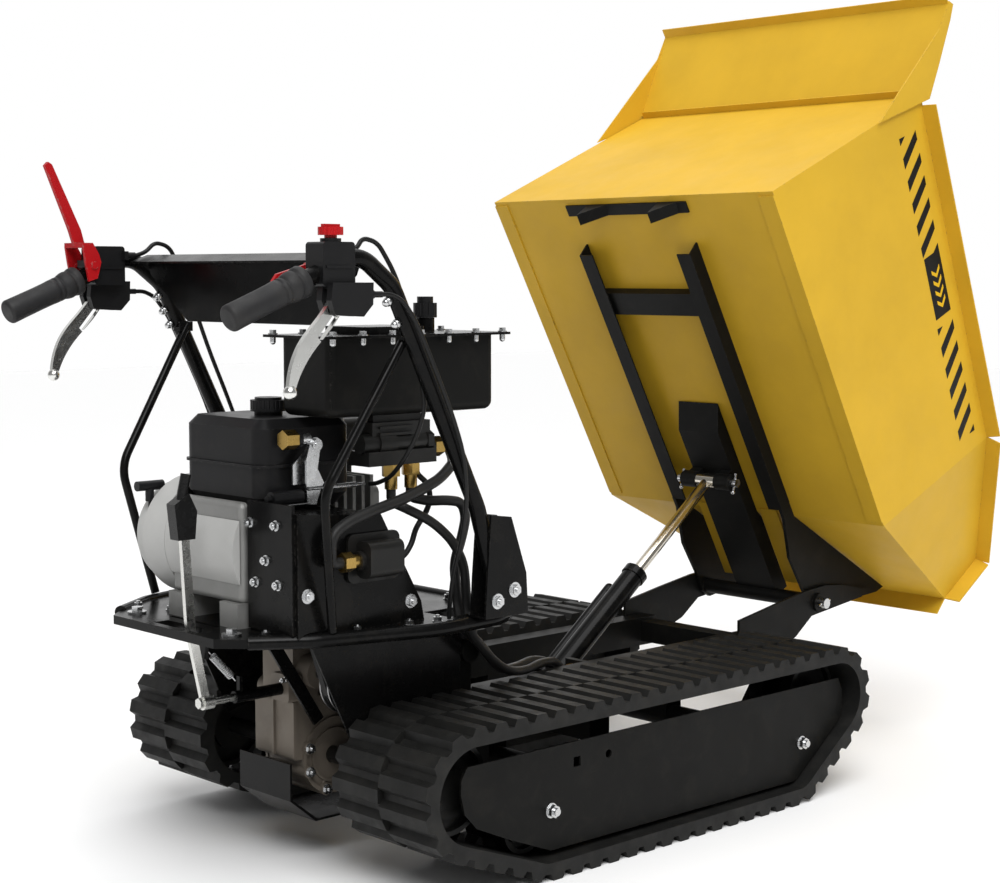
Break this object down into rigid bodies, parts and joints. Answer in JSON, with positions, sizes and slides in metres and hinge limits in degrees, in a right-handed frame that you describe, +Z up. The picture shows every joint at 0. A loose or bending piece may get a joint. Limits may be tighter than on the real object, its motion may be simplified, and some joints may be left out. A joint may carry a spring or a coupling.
{
  "type": "tracked power wheelbarrow",
  "caption": "Tracked walk-behind power wheelbarrow with a hydraulic tipping bin, shown tipped, with engine, belt drive, oil tank and handlebar controls",
  "frame": {"origin": "on the ground in the middle of the machine's length and width", "axes": "+X is the direction of travel, towards the bin; +Y is the machine's left; +Z is up"},
  "size_m": [1.8805, 0.786, 1.4545],
  "materials": {
    "yellow_paint": "gloss",
    "black_paint": "semi-gloss",
    "barrel_black": "gloss",
    "tank_paint": "satin",
    "track_rubber": "matte",
    "cast_black": "satin",
    "case_aluminium": "cast",
    "shroud_silver": "satin",
    "zinc": "bright",
    "pulley_steel": "satin",
    "polished": "polished",
    "brass": "satin",
    "black_plastic": "satin",
    "red_paint": "gloss",
    "red_plastic": "gloss",
    "grip_rubber": "matte",
    "belt_rubber": "matte",
    "hose_rubber": "satin",
    "cable_sheath": "satin"
  },
  "bodies": {
    "chassis": {"chassis_frame": "black_paint", "track_right": "track_rubber", "track_left": "track_rubber", "track_frame_right": "black_paint", "track_frame_left": "black_paint", "side_plates": "black_paint", "gearbox_case": "case_aluminium", "belly_plates": "black_paint", "deck_plate": "black_paint", "bolts_and_nuts": "zinc", "engine_block": "case_aluminium", "engine_shroud": "shroud_silver", "fuel_tank": "tank_paint", "muffler": "black_paint", "carburettor": "black_plastic", "governor_arm": "zinc", "belt_guard": "black_paint", "drive_belt": "belt_rubber", "hydraulic_pump": "cast_black", "oil_tank": "black_paint", "oil_tank_lid": "black_paint", "control_valve": "cast_black", "hose_fittings": "brass", "hydraulic_hoses": "hose_rubber", "handle_right": "black_paint", "handle_left": "black_paint", "stay_rods": "black_paint", "console_panel": "black_paint", "handle_grips": "grip_rubber", "lever_perches": "black_plastic", "control_cables": "cable_sheath", "return_spring": "zinc", "hinge_pin": "zinc"},
    "bin": {"bin_shell": "yellow_paint", "spill_guard": "yellow_paint", "bin_frame": "black_paint", "latch_strip": "black_paint", "rod_pin": "zinc"},
    "ram_rod": {"cylinder_rod": "polished"},
    "ram_barrel": {"cylinder_barrel": "barrel_black"},
    "sprocket_r": {"sprocket_right": "cast_black"},
    "sprocket_l": {"sprocket_left": "cast_black"},
    "idler_r": {"idler_right": "cast_black"},
    "idler_l": {"idler_left": "cast_black"},
    "front_roller_r": {"roller_front_right": "cast_black"},
    "rear_roller_r": {"roller_rear_right": "cast_black"},
    "front_roller_l": {"roller_front_left": "cast_black"},
    "rear_roller_l": {"roller_rear_left": "cast_black"},
    "engine_sheave": {"engine_pulley": "pulley_steel"},
    "gearbox_sheave": {"gearbox_pulley": "pulley_steel"},
    "steer_r": {"steering_lever_right": "polished"},
    "steer_l": {"steering_lever_left": "polished"},
    "clutch": {"clutch_lever": "red_paint"},
    "throttle": {"throttle_lever": "red_paint"},
    "stop_button": {"stop_knob": "red_plastic"},
    "starter_grip": {"recoil_grip": "black_plastic"},
    "filler_cap": {"fuel_cap": "black_plastic"},
    "oil_filler_cap": {"oil_cap": "black_plastic"},
    "tip_lever": {"valve_lever": "pulley_steel"},
    "gear_stick": {"gear_lever": "polished"}
  },
  "joints": [
    {"name": "bin_tip", "type": "hinge", "parent": "chassis", "child": "bin", "pos_m": [0.5695, 0, 0.287], "axis": [0, 1, 0], "range_deg": [-60.72, 0]},
    {"name": "rod_swing", "type": "hinge", "parent": "bin", "child": "ram_rod", "pos_m": [0.41038, 0, 0.52869], "axis": [0, 1, 0], "range_deg": [-1, 84]},
    {"name": "barrel_slide", "type": "slide", "parent": "ram_rod", "child": "ram_barrel", "axis": [-0.7915, 0, -0.6112], "range_m": [-0.2395, 0.001]},
    {"name": "sprocket_r_spin", "type": "hinge", "parent": "chassis", "child": "sprocket_r", "pos_m": [-0.5635, -0.2845, 0.1625], "axis": [0, 1, 0], "continuous": true},
    {"name": "idler_r_spin", "type": "hinge", "parent": "chassis", "child": "idler_r", "pos_m": [0.3145, -0.2845, 0.1735], "axis": [0, 1, 0], "continuous": true},
    {"name": "front_roller_r_spin", "type": "hinge", "parent": "chassis", "child": "front_roller_r", "pos_m": [0.2075, -0.2845, 0.073], "axis": [0, 1, 0], "continuous": true},
    {"name": "rear_roller_r_spin", "type": "hinge", "parent": "chassis", "child": "rear_roller_r", "pos_m": [-0.4085, -0.2845, 0.073], "axis": [0, 1, 0], "continuous": true},
    {"name": "sprocket_l_spin", "type": "hinge", "parent": "chassis", "child": "sprocket_l", "pos_m": [-0.5635, 0.2845, 0.1625], "axis": [0, 1, 0], "continuous": true},
    {"name": "idler_l_spin", "type": "hinge", "parent": "chassis", "child": "idler_l", "pos_m": [0.3145, 0.2845, 0.1735], "axis": [0, 1, 0], "continuous": true},
    {"name": "front_roller_l_spin", "type": "hinge", "parent": "chassis", "child": "front_roller_l", "pos_m": [0.2075, 0.2845, 0.073], "axis": [0, 1, 0], "continuous": true},
    {"name": "rear_roller_l_spin", "type": "hinge", "parent": "chassis", "child": "rear_roller_l", "pos_m": [-0.4085, 0.2845, 0.073], "axis": [0, 1, 0], "continuous": true},
    {"name": "engine_sheave_spin", "type": "hinge", "parent": "chassis", "child": "engine_sheave", "pos_m": [-0.6915, -0.148, 0.515], "axis": [0, 1, 0], "continuous": true},
    {"name": "gearbox_sheave_spin", "type": "hinge", "parent": "chassis", "child": "gearbox_sheave", "pos_m": [-0.6065, -0.148, 0.305], "axis": [0, 1, 0], "continuous": true},
    {"name": "steer_r_pull", "type": "hinge", "parent": "chassis", "child": "steer_r", "pos_m": [-0.7585, -0.317, 0.897], "axis": [0, 1, 0], "range_deg": [0, 30], "stiffness_Nm_per_rad": 1.5, "springref_deg": -8.59},
    {"name": "steer_l_pull", "type": "hinge", "parent": "chassis", "child": "steer_l", "pos_m": [-0.7585, 0.317, 0.897], "axis": [0, 1, 0], "range_deg": [0, 30], "stiffness_Nm_per_rad": 1.5, "springref_deg": -8.59},
    {"name": "clutch_press", "type": "hinge", "parent": "chassis", "child": "clutch", "pos_m": [-0.7935, 0.3, 0.946], "axis": [0, -1, 0], "range_deg": [0, 65], "stiffness_Nm_per_rad": 1.5, "springref_deg": -17.19},
    {"name": "throttle_turn", "type": "hinge", "parent": "chassis", "child": "throttle", "pos_m": [-0.7685, -0.266, 0.936], "axis": [0, 1, 0], "range_deg": [0, 50]},
    {"name": "stop_press", "type": "slide", "parent": "chassis", "child": "stop_button", "axis": [0, 0, -1], "range_m": [0, 0.004], "stiffness_N_per_m": 900, "springref_m": -0.0015},
    {"name": "starter_pull", "type": "slide", "parent": "chassis", "child": "starter_grip", "axis": [0, 0, 1], "range_m": [0, 0.19], "stiffness_N_per_m": 40, "springref_m": -0.1},
    {"name": "filler_cap_turn", "type": "hinge", "parent": "chassis", "child": "filler_cap", "pos_m": [-0.6715, -0.03, 0.726], "axis": [0, 0, 1], "range_deg": [0, 120]},
    {"name": "oil_cap_turn", "type": "hinge", "parent": "chassis", "child": "oil_filler_cap", "pos_m": [-0.4185, -0.11, 0.87], "axis": [0, 0, 1], "range_deg": [0, 360]},
    {"name": "tip_lever_swing", "type": "hinge", "parent": "chassis", "child": "tip_lever", "pos_m": [-0.5465, -0.134, 0.664], "axis": [0, 1, 0], "range_deg": [-15, 15], "stiffness_Nm_per_rad": 6},
    {"name": "gear_shift", "type": "hinge", "parent": "chassis", "child": "gear_stick", "pos_m": [-0.7995, -0.038, 0.282], "axis": [1, 0, 0], "range_deg": [-10, 14]}
  ],
  "couplings": [
    {"joint": "rod_swing", "follows": "bin_tip", "ratio": -1.3593},
    {"joint": "barrel_slide", "follows": "bin_tip", "m_per_rad": 0.22464},
    {"joint": "idler_r_spin", "follows": "sprocket_r_spin", "ratio": 1.1719},
    {"joint": "front_roller_r_spin", "follows": "sprocket_r_spin", "ratio": 1.6667},
    {"joint": "rear_roller_r_spin", "follows": "sprocket_r_spin", "ratio": 1.6667},
    {"joint": "idler_l_spin", "follows": "sprocket_l_spin", "ratio": 1.1719},
    {"joint": "front_roller_l_spin", "follows": "sprocket_l_spin", "ratio": 1.6667},
    {"joint": "rear_roller_l_spin", "follows": "sprocket_l_spin", "ratio": 1.6667},
    {"joint": "gearbox_sheave_spin", "follows": "engine_sheave_spin", "ratio": 0.70833}
  ]
}
